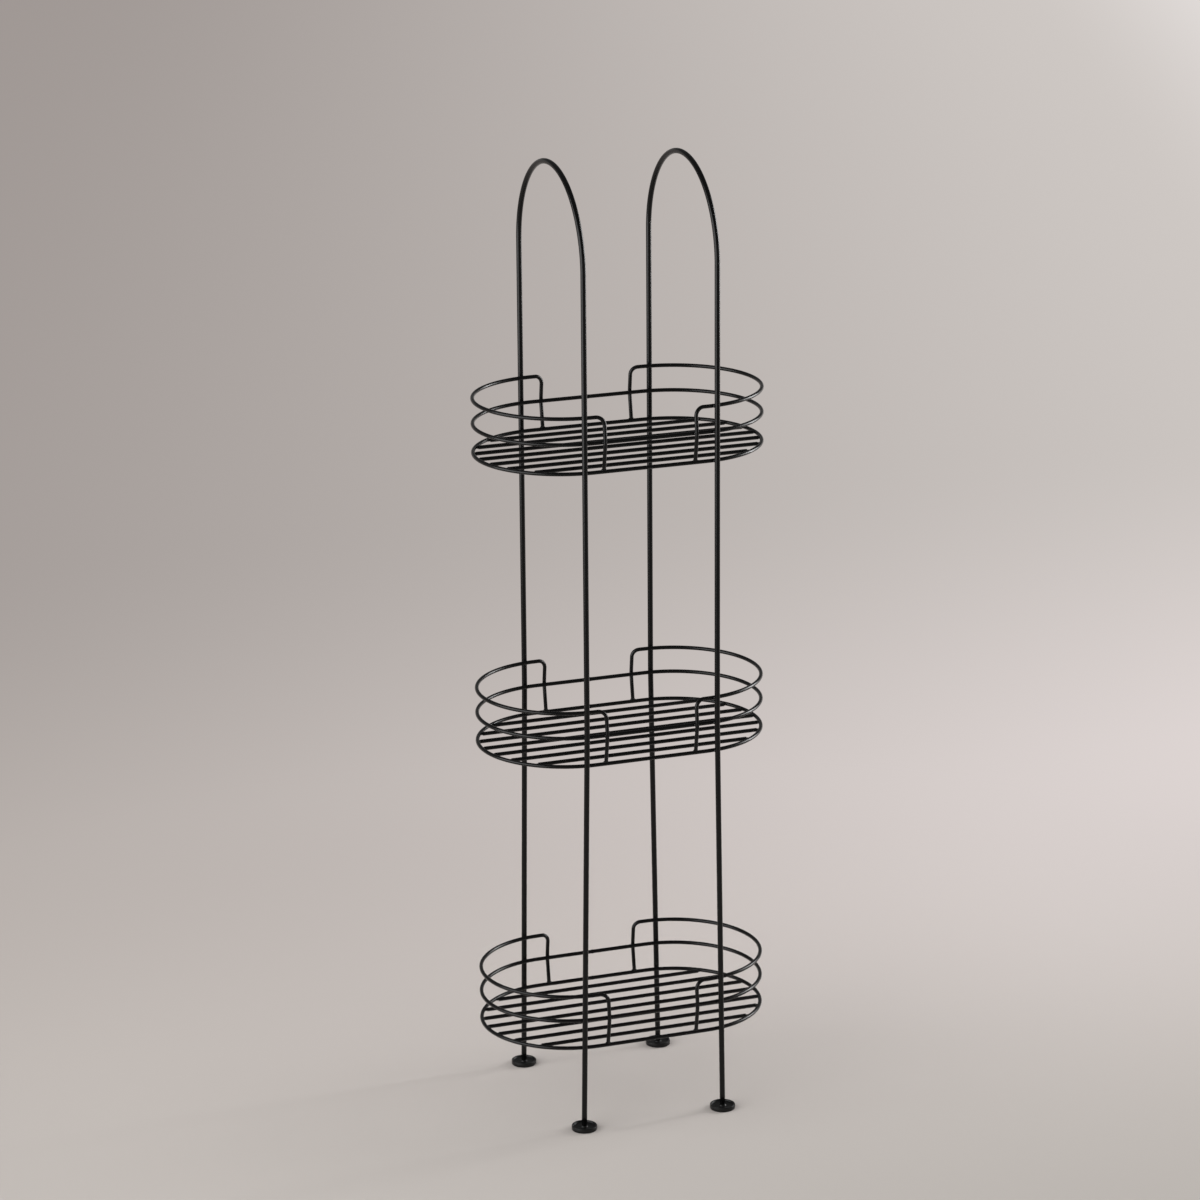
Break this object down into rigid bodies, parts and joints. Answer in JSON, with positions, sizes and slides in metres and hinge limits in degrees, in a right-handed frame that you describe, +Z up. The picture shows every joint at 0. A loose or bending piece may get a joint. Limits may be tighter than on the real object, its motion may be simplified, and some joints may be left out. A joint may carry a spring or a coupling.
{
  "type": "tiered rack",
  "caption": "Tall free-standing wire rack: open oval baskets with slatted floors, held one above another between arched hoops that stand on round feet.",
  "frame": {"origin": "on the floor under the middle of the rack, halfway between the hoops and between front and back", "axes": "+Z up; +X to the right along the baskets; +Y from the front to the back"},
  "size_m": [0.3344, 0.2366, 1.098],
  "materials": {
    "hoop_coat": "satin black powder coat on thick steel wire",
    "basket_coat": "satin black powder coat on thin steel wire",
    "foot_rubber": "matt black moulded rubber"
  },
  "bodies": {
    "root": {"left_hoop": "hoop_coat", "right_hoop": "hoop_coat", "bottom_base_ring": "basket_coat", "bottom_wall_ring": "basket_coat", "bottom_left_end_rail": "basket_coat", "bottom_right_end_rail": "basket_coat", "bottom_slat_1": "basket_coat", "bottom_slat_2": "basket_coat", "bottom_slat_3": "basket_coat", "bottom_slat_4": "basket_coat", "bottom_slat_5": "basket_coat", "bottom_slat_6": "basket_coat", "bottom_slat_7": "basket_coat", "middle_base_ring": "basket_coat", "middle_wall_ring": "basket_coat", "middle_left_end_rail": "basket_coat", "middle_right_end_rail": "basket_coat", "middle_slat_1": "basket_coat", "middle_slat_2": "basket_coat", "middle_slat_3": "basket_coat", "middle_slat_4": "basket_coat", "middle_slat_5": "basket_coat", "middle_slat_6": "basket_coat", "middle_slat_7": "basket_coat", "top_base_ring": "basket_coat", "top_wall_ring": "basket_coat", "top_left_end_rail": "basket_coat", "top_right_end_rail": "basket_coat", "top_slat_1": "basket_coat", "top_slat_2": "basket_coat", "top_slat_3": "basket_coat", "top_slat_4": "basket_coat", "top_slat_5": "basket_coat", "top_slat_6": "basket_coat", "top_slat_7": "basket_coat", "front_left_foot": "foot_rubber", "front_right_foot": "foot_rubber", "back_left_foot": "foot_rubber", "back_right_foot": "foot_rubber"}
  },
  "joints": []
}
